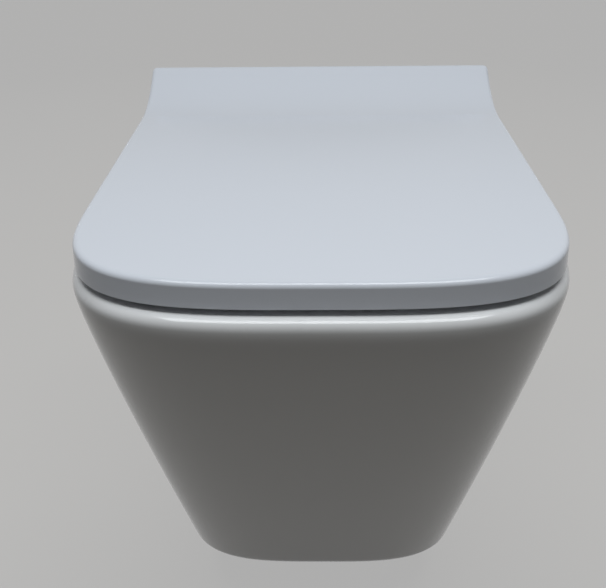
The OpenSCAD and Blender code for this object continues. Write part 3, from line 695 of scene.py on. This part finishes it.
def charcoal_pattern(s):
    grain = s.noise(420, 4, 0.6)
    worn = s.node("ValToRGB", {"stops": (0.62, 0.70)}, {"Fac": s.noise(70, 6, 0.7)})
    return {
        "Base Color": s.blend(worn, (0.045, 0.047, 0.05), (0.09, 0.085, 0.08)),
        "Roughness": 0.42 + 0.2*grain,
        "Normal": s.bumps(grain, 0.00016),
    }


def both_hands(right):
    """The mirror image of a piece and then the piece itself, each with the name of its hand"""
    yield mirrored(right, right.name.replace("right", "left")), "left"
    yield right, "right"


charcoal = finish("charcoal_paint", charcoal_pattern)
for piece, hand in both_hands(bracket):
    fitted(piece, charcoal, "pan", "bracket_steel", f"wall_bracket_{hand}")


# Stud washers and nuts. Zinc plated steel: a washer against each bracket, and a hexagon nut
# with bevelled corners and an M12 thread, which holds the bracket to the wall.
washer_r = 0.013
washer_edge = 0.0004
nut_corner = 0.0105
stud_r = 0.006
thread_pitch = 0.00175
thread_depth = 0.0007
nut_low, nut_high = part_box("stud_nuts")
nut_y0, nut_y1 = nut_low.y, nut_high.y


def zinc_pattern(s):
    bloom = s.noise(90, 5, 0.7)
    return {
        "Base Color": s.blend(bloom, (0.56, 0.57, 0.60), (0.68, 0.66, 0.60)),
        "Roughness": 0.26 + 0.22*bloom,
        "Normal": s.bumps(s.noise(900, 3), 0.00003),
    }


def hexagon(name, centre, axis, across, corner, start, end):
    """Hexagonal block along an axis, its corners bevelled at both ends"""
    centre, axis, across = Vector(centre), Vector(axis), Vector(across)
    upright = axis.cross(across)
    flat = corner*math.cos(math.pi/6)
    rise = (corner - flat)*math.tan(math.pi/6)
    edge = [centre + axis*start + across*corner*math.cos(a) + upright*corner*math.sin(a)
            for a in np.linspace(0, 2*math.pi, 7)[:6]]
    block = extruded(name, edge, axis*(end - start))
    cone = turned("cone", [(0, start), (flat, start), (corner, start + rise), (corner, end - rise),
                           (flat, end), (0, end)], centre, axis)
    return combine(block, "INTERSECT", cone)


def thread(centre, axis, radius, start, end, pitch, depth):
    """Tool that cuts a threaded bore with bevelled mouths"""
    turns = int((end - start)/pitch)
    flanks = [(radius + depth*(i % 2), mix(start + depth, end - depth, i/(2*turns)))
              for i in range(2*turns + 1)]
    outline = [(0, start - depth), (radius + 2*depth, start - depth)] + flanks
    outline += [(radius + 2*depth, end + depth), (0, end + depth)]
    return turned("thread", outline, centre, axis)


zinc = finish("zinc_plate", zinc_pattern, Metallic=1.0)
washer = turned("stud_washer_right", rounded([
    (stud_hole_r, nut_y1, washer_edge), (washer_r, nut_y1, washer_edge),
    (washer_r, bracket_low.y, washer_edge), (stud_hole_r, bracket_low.y, washer_edge)]),
    (stud_x, 0, 0), (0, 1, 0))
nut = hexagon("stud_nut_right", (stud_x, 0, 0), (0, 1, 0), (1, 0, 0), nut_corner, nut_y0, nut_y1)
combine(nut, "DIFFERENCE", thread((stud_x, 0, 0), (0, 1, 0), stud_r + slip, nut_y0, nut_y1,
                                  thread_pitch, thread_depth))
for right, node in ((washer, "stud_washers"), (nut, "stud_nuts")):
    for piece, _ in both_hands(right):
        fitted(piece, zinc, "pan", "zinc_steel", node)


# Locking screws and their bushes. A zinc plated socket screw runs through a white nylon bush
# in each side of the china into its bracket, and the turned solids already have their shape.
def dress(material, *nodes):
    """Give the solids of some nodes their finish"""
    for node in nodes:
        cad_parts[node].material_slots[0].material = material


def nylon_pattern(s):
    return {
        "Base Color": s.blend(s.noise(50, 3), (0.70, 0.69, 0.64), (0.78, 0.77, 0.72)),
        "Roughness": 0.36 + 0.15*s.noise(300, 3),
        "Normal": s.bumps(s.noise(1100, 2), 0.00003),
    }


nylon = finish("white_nylon", nylon_pattern, IOR=1.53)
dress(zinc, "lock_screws")
dress(nylon, "lock_bushes")


# Side caps. Moulded white buttons, domed, that clip into the holes in the pan's sides, over
# the locking screws. They lie flat on the slope of the ceramic.
cap_r = 0.012
cap_t = 0.002
cap_edge = 0.0009
peg_r = lock_r - 0.001
peg_len = 0.006
peg_tip = 0.0006
side_slope = math.atan(side_taper/(pan_h - rim_round))
cap_axis = Vector((math.cos(side_slope), 0, -math.sin(side_slope)))
dome = [(cap_r*(1 - i/12), cap_t - (cap_t - cap_edge)*(1 - i/12)**4) for i in range(13)]
cap = turned("side_cap_right", [
    (0, -peg_len), (peg_r - peg_tip, -peg_len), (peg_r, -peg_len + peg_tip), (peg_r, 0),
    (cap_r, 0)] + dome, (pan_half(0), lock_y, 0), cap_axis)
for piece, _ in both_hands(cap):
    fitted(piece, moulding, "pan", "moulded_white", "side_caps")


# Hinge fixings. A rubber gasket and a steel plate under each hinge, the bolt through them, and
# under the deck the rubber anchor that the bolt squeezes out, with its hexagon of brass.
def steel_pattern(s):
    brushed = s.noise(260, 2, 0.5, (1, 12, 12))
    return {
        "Base Color": s.blend(brushed, (0.55, 0.55, 0.56), (0.64, 0.64, 0.65)),
        "Roughness": 0.20 + 0.16*brushed,
        "Normal": s.bumps(brushed, 0.00002),
    }


def brass_pattern(s):
    tarnish = s.noise(80, 5, 0.6)
    return {
        "Base Color": s.blend(tarnish, (0.62, 0.43, 0.18), (0.74, 0.55, 0.26)),
        "Roughness": 0.24 + 0.2*tarnish,
        "Normal": s.bumps(s.noise(700, 2), 0.00003),
    }


stainless = finish("brushed_steel", steel_pattern, Metallic=1.0)
brass = finish("turned_brass", brass_pattern, Metallic=1.0)
dress(black_rubber, "hinge_gaskets", "hinge_anchors")
dress(stainless, "hinge_plates", "hinge_bolts")
dress(brass, "anchor_nuts")


# Hinge bodies. Die-cast zinc, polished and chromed. A foot covers the plate and the bolt, and
# a goose neck reaches back to the barrel that holds a damper. The release button is in front.
body_low, body_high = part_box("hinge_body_right")
body_y0 = body_low.y
body_y1 = body_y0 + 0.044
body_rise = 0.0174
body_top = rim_z + body_rise
axis_y = -0.057
axis_z = rim_z + 0.0285
barrel_r = 0.0085
damper_r = 0.00575
damper_x0 = body_low.x + 0.004
plate_r = 0.018
plate_top = body_low.z + 0.003
bolt_head_r = 0.0055
bolt_head_top = plate_top + 0.0035
button_r = 0.006
button_travel = 0.0024
die_round = 0.0012
arm_over = [(axis_y, axis_z + 0.007), (axis_y - 0.005, axis_z + 0.0065),
            (axis_y - 0.015, axis_z + 0.0004)]
arm_below = [(axis_y - barrel_r + 0.001, axis_z - 0.005), (axis_y, axis_z - 0.004)]
button_low, button_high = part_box("release_button_right")
button_y = (button_low.y + button_high.y)/2


def armed(name, x0, x1, profile, edge):
    """Arm of an even width that ends in a barrel at the hinge axis, its edges softened"""
    arm = extruded(name, [(x0, y, z) for y, z in profile], (x1 - x0, 0, 0))
    combine(arm, "UNION", bar((x0, axis_y, axis_z), (x1, axis_y, axis_z), barrel_r))
    return soften(arm, edge, 3, 38)


foot_profile = ([(body_y0, body_low.z), (body_y1, body_low.z), (body_y1, axis_z - 0.013)]
                + arm_below + arm_over
                + [(body_y1, axis_z - 0.005), (body_y1 - 0.009, body_top), (body_y0, body_top)])
hinge = armed("hinge_body_right", body_low.x, body_high.x, foot_profile, die_round)
combine(
    hinge, "DIFFERENCE",
    bore((0, axis_y, axis_z), (-1, 0, 0), damper_r + fit, -body_high.x, -damper_x0, True, 0.0005),
    bar((bolt_x, bolt_y, body_low.z - over), (bolt_x, bolt_y, plate_top + slip), plate_r + slip),
    bar((bolt_x, bolt_y, body_low.z), (bolt_x, bolt_y, bolt_head_top + loose), bolt_head_r + loose),
    bore((bolt_x, button_y, 0), (0, 0, -1), button_r + fit, -body_top,
         button_travel + loose - button_low.z, True, 0.0006))


def chrome_pattern(s):
    return {
        "Base Color": s.blend(s.noise(40, 2), (0.50, 0.51, 0.53), (0.57, 0.58, 0.59)),
        "Roughness": 0.12 + 0.08*s.noise(130, 4),
        "Normal": s.bumps(s.noise(60, 1), 0.00006),
    }


chrome = finish("polished_chrome", chrome_pattern, Metallic=1.0)
for piece, hand in both_hands(hinge):
    fitted(piece, chrome, "pan", "hinge_metal", f"hinge_body_{hand}")


# Dampers, their shafts and bushes. Sealed oil dampers fill the barrels and brake the lid and
# the seat by steel shafts, and a nylon bush lines each ear that turns freely on a shaft.
def damper_pattern(s):
    return {
        "Base Color": s.blend(s.noise(40), (0.20, 0.205, 0.21), (0.24, 0.245, 0.25)),
        "Roughness": 0.34 + 0.14*s.noise(260, 3),
        "Normal": s.bumps(s.noise(1200, 2), 0.00003),
    }


damper_plastic = finish("damper_acetal", damper_pattern)
dress(damper_plastic, "lid_damper", "seat_damper")
dress(stainless, "lid_damper_shaft", "seat_damper_shaft")
dress(nylon, "lid_bush", "seat_bush")


# Release buttons. Satin grey mouldings with a dished top. Pressing both frees the hinges from
# their plates, so that the seat and the lid lift off for cleaning.
dish_r = 0.0042
dish_depth = 0.0006
button_edge = 0.0006
dish = [(dish_r*(1 - i/8), button_high.z - dish_depth*(1 - (1 - i/8)**2)) for i in range(9)]
button = turned("release_button_right", [
    (0, button_low.z), (button_r - button_edge, button_low.z),
    (button_r, button_low.z + button_edge)]
    + [(button_r - button_edge*(1 - math.cos(a)), button_high.z - button_edge*(1 - math.sin(a)))
       for a in quarter(5)]
    + dish, (bolt_x, button_y, 0), (0, 0, 1), 64)


def button_pattern(s):
    return {
        "Base Color": s.blend(s.noise(50), (0.42, 0.43, 0.44), (0.47, 0.475, 0.48)),
        "Roughness": 0.30 + 0.12*s.noise(300, 3),
        "Normal": s.bumps(s.noise(1600, 1), 0.00003),
    }


button_grey = finish("satin_grey", button_pattern)
for piece, hand in both_hands(button):
    fitted(piece, button_grey, f"button_{hand}", "button_plastic", f"release_button_{hand}")


# Seat ring. A flat ring of pressed white thermoset, polished like lacquer, with rounded edges.
# It lies inside the lid's skirt, and two goose-neck ears reach back over the deck to the axis.
seat_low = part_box("seat_ring")[0]
lid_low, lid_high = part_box("lid")
skirt_t = 0.0045
seat_gap = 0.0025
lid_corner = 0.155
seat_t = 0.0105
seat_z = seat_low.z
seat_top = seat_z + seat_t
seat_half = lid_high.x - skirt_t - seat_gap
seat_y0 = lid_low.y + skirt_t + seat_gap
seat_y1 = -0.132
seat_corner = lid_corner - skirt_t - seat_gap
seat_back_round = 0.012
hole_half = 0.112
hole_y0 = seat_y0 + 0.062
hole_y1 = hole_y0 + 0.262
hole_corner = 0.105
hole_back_round = 0.062
seat_round = 0.003
under_round = 0.0012
# A ring this far inside a rounded edge keeps the face beside it flat
hold = 0.001
side_gap = 0.001
seat_ear_x0 = body_high.x + side_gap
seat_ear_x1 = seat_ear_x0 + 0.012
shaft_r = 0.003
bush_r = shaft_r + 0.002
ear_edge = 0.0008


def seat_outer(inset, z):
    """Outer outline of the seat at a height, drawn in by inset"""
    return ring(half_outline(seat_half - inset, seat_y0 + inset, seat_y1 - inset,
                             seat_corner - inset, corner_power, seat_back_round - inset), z)


def seat_inner(inset, z):
    """Outline of the seat's opening at a height, widened by inset"""
    return ring(half_outline(hole_half + inset, hole_y0 - inset, hole_y1 + inset,
                             hole_corner + inset, 3, hole_back_round + inset), z)


def axle_hole(side, x0, x1, radius):
    """Tool that bores an ear on one side for the hinge's axle"""
    return bore((0, axis_y, axis_z), (side, 0, 0), radius, x0, x1, False, 0.0003)


seat_rings = [seat_outer(seat_round + hold, seat_top)]
seat_rings += [seat_outer(seat_round*(1 - math.sin(a)), seat_top - seat_round*(1 - math.cos(a)))
               for a in quarter()]
seat_rings += [seat_outer(under_round*(1 - math.cos(a)), seat_z + under_round*(1 - math.sin(a)))
               for a in quarter(4)]
seat_rings += [seat_inner(under_round*(1 - math.sin(a)), seat_z + under_round*(1 - math.cos(a)))
               for a in quarter(4)]
seat_rings += [seat_inner(seat_round*(1 - math.cos(a)), seat_top - seat_round*(1 - math.sin(a)))
               for a in quarter()]
seat_rings += [seat_inner(seat_round + hold, seat_top)]
seat = loft("seat_ring_moulding", seat_rings, closed=True)
root_y = seat_y1 - 0.008
seat_arm = (arm_over
            + [(axis_y - 0.026, axis_z - 0.006), (axis_y - 0.044, seat_top), (root_y, seat_top),
               (root_y, seat_z), (axis_y - 0.026, seat_z)] + arm_below)
seat_ear = armed("seat_ear", seat_ear_x0, seat_ear_x1, seat_arm, ear_edge)
combine(seat, "UNION", mirrored(seat_ear, "seat_ear_left"), seat_ear)
combine(seat, "DIFFERENCE", axle_hole(1, seat_ear_x0, seat_ear_x1, shaft_r + fit),
        axle_hole(-1, seat_ear_x0, seat_ear_x1, bush_r + fit))


def lacquer_pattern(s):
    return {
        "Base Color": s.blend(s.noise(4, 1), (0.78, 0.815, 0.88), (0.80, 0.83, 0.89)),
        "Roughness": 0.13 + 0.05*s.noise(60, 3),
        "Normal": s.bumps(s.noise(16, 0.5), 0.00012),
    }


lacquer = finish("polished_thermoset", lacquer_pattern, IOR=1.52)
fitted(seat, lacquer, "seat", "seat_plastic", "seat_ring")


# Seat buffers. Four soft grey rubber pads, pushed into the seat from below, on which it rests
# on the ceramic. Each has a rounded foot with a shallow ring in it.
seat_buffer_r = 0.009
buffer_x = 0.150
buffer_round = 0.0016
foot_ring_r = 0.005
foot_ring_depth = 0.0007
buffer_rows = (("front", -0.430), ("back", -0.190))
seat_pad = rounded([
    (0, seat_z, 0), (0, rim_z + foot_ring_depth, 0),
    (foot_ring_r - 0.001, rim_z + foot_ring_depth, 0.0005), (foot_ring_r, rim_z, 0.0005),
    (seat_buffer_r, rim_z, buffer_round), (seat_buffer_r, seat_z, 0.0004)])


def soft_grey_pattern(s):
    return {
        "Base Color": s.blend(s.noise(45, 3), (0.50, 0.51, 0.52), (0.58, 0.59, 0.59)),
        "Roughness": 0.48 + 0.18*s.noise(240, 3),
        "Normal": s.bumps(s.noise(1500, 2), 0.00004),
    }


soft_grey = finish("soft_grey_rubber", soft_grey_pattern, IOR=1.45)
for row, y in buffer_rows:
    pad = turned(f"seat_buffer_{row}_right", seat_pad, (buffer_x, y, 0), (0, 0, 1), 64)
    for piece, _ in both_hands(pad):
        fitted(piece, soft_grey, "seat", "buffer_rubber", "seat_buffers")


# Lid. One pressing of the same white thermoset. Its skirt wraps over the seat, its back sweeps
# up over the hinges to a straight edge, and two ears under it reach down to their axis.
lid_half_w = lid_high.x
lid_y0 = lid_low.y
lid_y1 = lid_high.y
skirt_z = lid_low.z
lid_rise = 0.0186
lid_top = skirt_z + lid_rise
lid_t = 0.005
lid_back_round = 0.006
edge_round = 0.004
hem_round = 0.0005
inside_round = 0.003
sweep_y = -0.140
sweep_r = 0.156
sweep_run = 0.096
crest_round = 0.012
roll_start = sweep_run*sweep_r/(sweep_r + crest_round)
crest_rise = (sweep_r + crest_round)*(1 - math.cos(math.asin(roll_start/sweep_r)))
deck_gap = 0.003
swing_r = axis_z - rim_z - deck_gap
relief_r = barrel_r + 0.001
lid_ear_x0 = seat_ear_x1 + side_gap
lid_ear_x1 = lid_ear_x0 + 0.010
notch_x0 = body_low.x - 2*side_gap
notch_x1 = lid_ear_x0 - side_gap/2
side_y0 = -0.365
side_stations = 14
sweep_stations = 56
sweep_crowding = 1.5
least_round = 0.0005
web_stations = 16


def top_z(y):
    """Height of the lid's top face, level at first, then the sweep and its rolled crest"""
    along = np.clip(y - sweep_y, 0, sweep_run)
    sweep = sweep_r - np.sqrt(sweep_r**2 - np.minimum(along, roll_start)**2)
    left = np.minimum(sweep_run - along, sweep_run - roll_start)
    crest = crest_rise - crest_round + np.sqrt(crest_round**2 - left**2)
    return lid_top + np.where(along < roll_start, sweep, crest)


def hem_z(y):
    """Height of the lid's lower edge, which turns clear of the deck at the back"""
    turning = axis_z - np.sqrt(np.maximum(0, swing_r**2 - (y - axis_y)**2))
    return np.where(y < axis_y, skirt_z, np.maximum(skirt_z, turning))


def lid_ring(inset, height):
    """Outline of the lid, drawn in by inset, with points that crowd towards its crest"""
    back_r = max(lid_back_round - inset, least_round)
    straight_end = lid_y1 - inset - back_r - least_round
    crowded = np.linspace(1, 0, sweep_stations)**sweep_crowding
    stations = np.concatenate([np.linspace(side_y0, sweep_y, side_stations, endpoint=False),
                               mix(straight_end, sweep_y, crowded)])
    outline = half_outline(lid_half_w - inset, lid_y0 + inset, lid_y1 - inset, lid_corner - inset,
                           corner_power, back_r, stations)
    return ring(outline, height)


lid_rings = [lid_ring(edge_round + hold, top_z)]
lid_rings += [lid_ring(
    edge_round*(1 - math.sin(a)),
    lambda y, a=a: np.minimum(top_z(y) - edge_round*(1 - math.cos(a)), lid_high.z))
    for a in quarter()]
lid_rings += [lid_ring(hem_round*(1 - math.cos(a)),
                       lambda y, a=a: hem_z(y) + hem_round*(1 - math.sin(a))) for a in quarter(4)]
lid_rings += [lid_ring(skirt_t - hem_round*(1 - math.sin(a)),
                       lambda y, a=a: hem_z(y) + hem_round*(1 - math.cos(a))) for a in quarter(4)]
lid_rings += [lid_ring(skirt_t + inside_round*(1 - math.cos(a)),
                       lambda y, a=a: top_z(y) - lid_t - inside_round*(1 - math.sin(a)))
              for a in quarter(6)]
lid_rings += [lid_ring(skirt_t + inside_round + hold, lambda y: top_z(y) - lid_t)]
lid = loft("lid_shell", lid_rings, strips=True)

web_y = np.linspace(axis_y - barrel_r - 0.004, lid_y1 - skirt_t/2, web_stations)
web = [(y, float(top_z(y)) - lid_t/2) for y in web_y]
web += [(web_y[-1], axis_z), (axis_y + barrel_r, axis_z), (axis_y - barrel_r, axis_z)]

notch_z0 = skirt_z - over
notch_z1 = float(top_z(lid_y1)) - lid_t
notch_y = lid_y1 - skirt_t - over
for side in (1, -1):
    groove = bar((side*notch_x0, axis_y, axis_z), (side*notch_x1, axis_y, axis_z), relief_r)
    notch = extruded("notch", [
        (side*notch_x0, notch_y, notch_z0), (side*notch_x0, notch_y, notch_z1),
        (side*notch_x1, notch_y, notch_z1), (side*notch_x1, notch_y, notch_z0)],
        (0, skirt_t + 2*over, 0))
    combine(lid, "DIFFERENCE", groove, notch)
lid_ear = armed("lid_ear", lid_ear_x0, lid_ear_x1, web, ear_edge)
combine(lid, "UNION", mirrored(lid_ear, "lid_ear_left"), lid_ear)
combine(lid, "DIFFERENCE", axle_hole(-1, lid_ear_x0, lid_ear_x1, shaft_r + fit),
        axle_hole(1, lid_ear_x0, lid_ear_x1, bush_r + fit))
fitted(lid, lacquer, "lid", "seat_plastic", "lid")


# Lid buffers. Four small pads of the same rubber under the lid's top, which rest on the seat.
# They end a hair above it, so that no two faces of the moving pieces coincide.
lid_buffer_r = 0.006
lid_under = lid_top - lid_t
hair = 0.00003
pad_foot = seat_top + hair
lid_pad = rounded([(0, pad_foot, 0), (lid_buffer_r, pad_foot, 0.0009),
                   (lid_buffer_r, lid_under, 0.0003), (0, lid_under, 0)])
for row, y in buffer_rows:
    pad = turned(f"lid_buffer_{row}_right", lid_pad, (buffer_x, y, 0), (0, 0, 1), 64)
    for piece, _ in both_hands(pad):
        fitted(piece, soft_grey, "lid", "buffer_rubber", "lid_buffers")


# Camera. It stands where the photograph was taken, before the toilet and looking down on it,
# with the same tilt and field of view.
focal_px = 978.0
picture_width = 606
sensor_width = 36
bpy.ops.object.camera_add(location=(0.0010, -1.1016, 0.3618))
camera = bpy.context.active_object
yaw, pitch, roll = math.radians(-1.19), math.radians(25.29), math.radians(0.70)
ahead = Vector((math.sin(yaw)*math.cos(pitch), math.cos(yaw)*math.cos(pitch), -math.sin(pitch)))
level_right = Vector((math.cos(yaw), -math.sin(yaw), 0))
level_down = ahead.cross(level_right)
right = math.cos(roll)*level_right + math.sin(roll)*level_down
down = math.cos(roll)*level_down - math.sin(roll)*level_right
turn = Matrix((right, -down, -ahead)).transposed().to_4x4()
camera.matrix_world = Matrix.Translation(camera.location) @ turn
camera.data.lens = focal_px/picture_width*sensor_width
bpy.context.scene.camera = camera


# Studio. A pale floor under the hanging pan, which meets a backdrop of the same tone far away,
# a wide soft lamp overhead, a little before the toilet, and two weak fill lamps low behind it,
# which no reflection shows.
def seen(s):
    """1 where a point is looked at, straight or in a reflection, and 0 where it lights others"""
    return (s.node("LightPath", output="Is Camera Ray")
            + s.node("LightPath", output="Is Glossy Ray")
            + s.node("LightPath", output="Is Transmission Ray"))


def floor_pattern(s):
    return {"Emission Color": s.blend(seen(s), (0, 0, 0), (floor_glow, floor_glow, floor_glow))}


def area_lamp(location, rotation, size, energy, color):
    """Rectangular lamp"""
    bpy.ops.object.light_add(type="AREA", location=location, rotation=rotation)
    lamp = bpy.context.active_object
    lamp.data.shape = "RECTANGLE"
    lamp.data.size, lamp.data.size_y = size
    lamp.data.energy = energy
    lamp.data.color = color
    return lamp


floor_z = -0.320
floor_glow = 0.40
backdrop = 0.46
bpy.ops.object.select_all(action="DESELECT")
bpy.ops.mesh.primitive_plane_add(size=80, location=(0, 0, floor_z))
studio_floor = settled("studio_floor")
pale = finish("pale_floor", floor_pattern, Base_Color=(0.125, 0.116, 0.103, 1), Roughness=0.9,
              Emission_Strength=1.0)
studio_floor.data.materials.append(pale)

world = bpy.data.worlds.new("studio")
world.use_nodes = True
bpy.context.scene.world = world
background = world.node_tree.nodes["Background"]
background.inputs["Color"].default_value = (1, 1, 1, 1)
ambient = 0.08
strength = ambient + (backdrop - ambient)*seen(Signal(world.node_tree))
world.node_tree.links.new(strength.socket, background.inputs["Strength"])

area_lamp((0.05, -0.82, 1.9), (0, 0, 0), (2.0, 0.9), 29.5, (0.93, 0.97, 1.0))
for side in (-1, 1):
    fill = area_lamp((1.5*side, 2.1, 0.25), (math.radians(-86), 0, math.radians(-33*side)),
                     (1.6, 0.6), 4, (0.96, 0.98, 1.0))
    fill.data.spread = math.radians(55)
    fill.visible_glossy = False

bpy.context.scene.view_settings.view_transform = "Standard"
